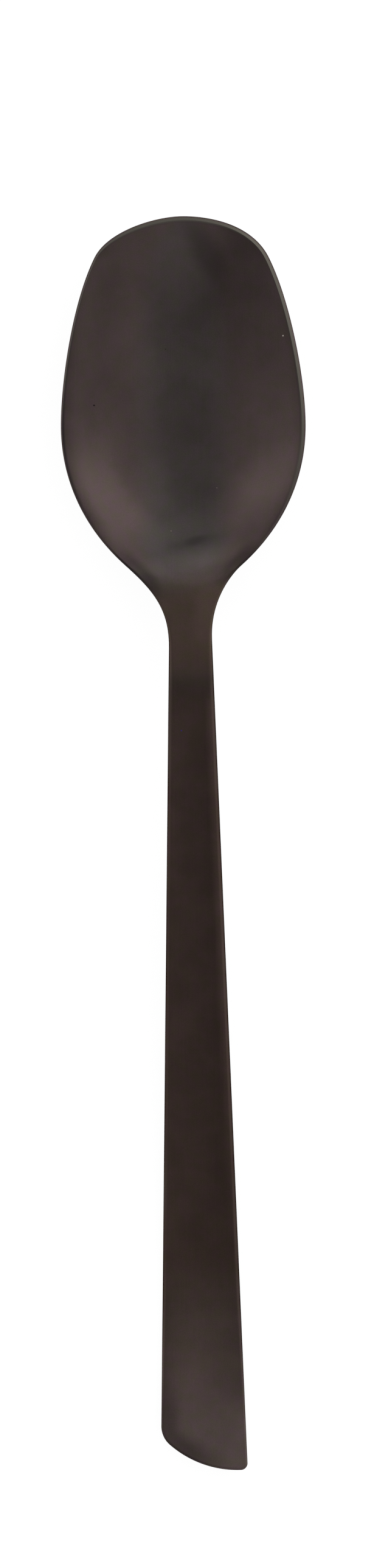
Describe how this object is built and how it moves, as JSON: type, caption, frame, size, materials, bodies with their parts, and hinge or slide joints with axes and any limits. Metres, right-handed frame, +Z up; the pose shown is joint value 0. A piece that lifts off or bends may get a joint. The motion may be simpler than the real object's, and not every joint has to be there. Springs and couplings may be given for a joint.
{
  "type": "tablespoon",
  "caption": "Tablespoon in dark satin coated steel: egg-shaped bowl with a thin rim, short neck, and a flat handle that widens to a slanted round-cornered end.",
  "frame": {"origin": "on the table under the middle of the spoon's bounding box, with the spoon lying on its belly and on the back of the handle", "axes": "+Y along the spoon towards the tip of the bowl, +Z up out of the bowl's hollow, +X to the right when the tip points away"},
  "size_m": [0.04, 0.205, 0.0115],
  "materials": {
    "coated_steel": "satin dark brown-black coating over fine brushed steel"
  },
  "bodies": {
    "root": {"bowl": "coated_steel", "handle": "coated_steel"}
  },
  "joints": []
}
